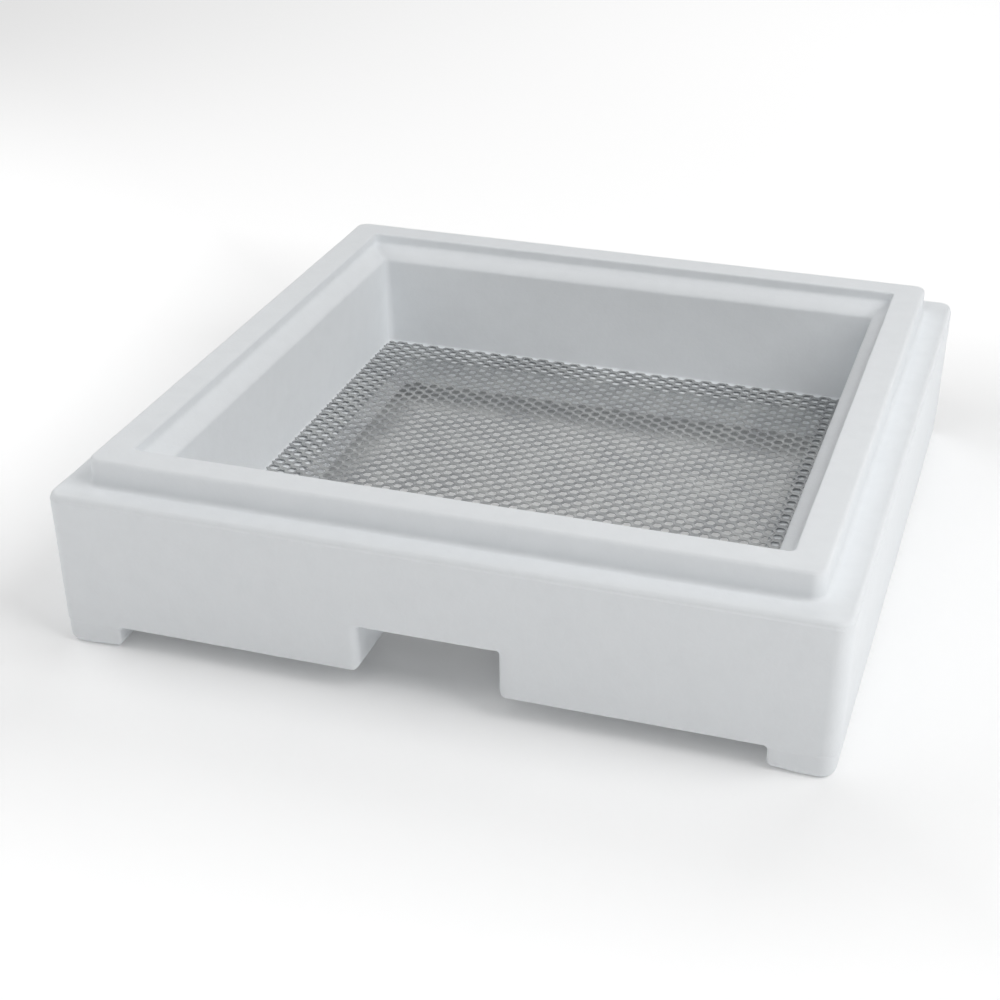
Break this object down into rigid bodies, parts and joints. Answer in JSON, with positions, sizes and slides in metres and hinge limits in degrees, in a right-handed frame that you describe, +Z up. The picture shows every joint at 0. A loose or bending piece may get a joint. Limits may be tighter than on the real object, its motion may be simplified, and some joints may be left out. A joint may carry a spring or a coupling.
{
  "type": "open mesh floor tray",
  "caption": "Square moulded-foam tray with a stepped stacking rim, side runners, a front notch and an expanded-metal floor.",
  "frame": {"origin": "centre of the square footprint, on the plane that the runners stand on", "axes": "+Z up, front with the notch towards -Y, +X to the right seen from the front, runners along Y"},
  "size_m": [0.3, 0.3, 0.075],
  "materials": {
    "white_foam": "matte",
    "grey_mesh": "satin"
  },
  "bodies": {
    "root": {"foam_body": "white_foam", "mesh_panel": "grey_mesh"}
  },
  "joints": []
}
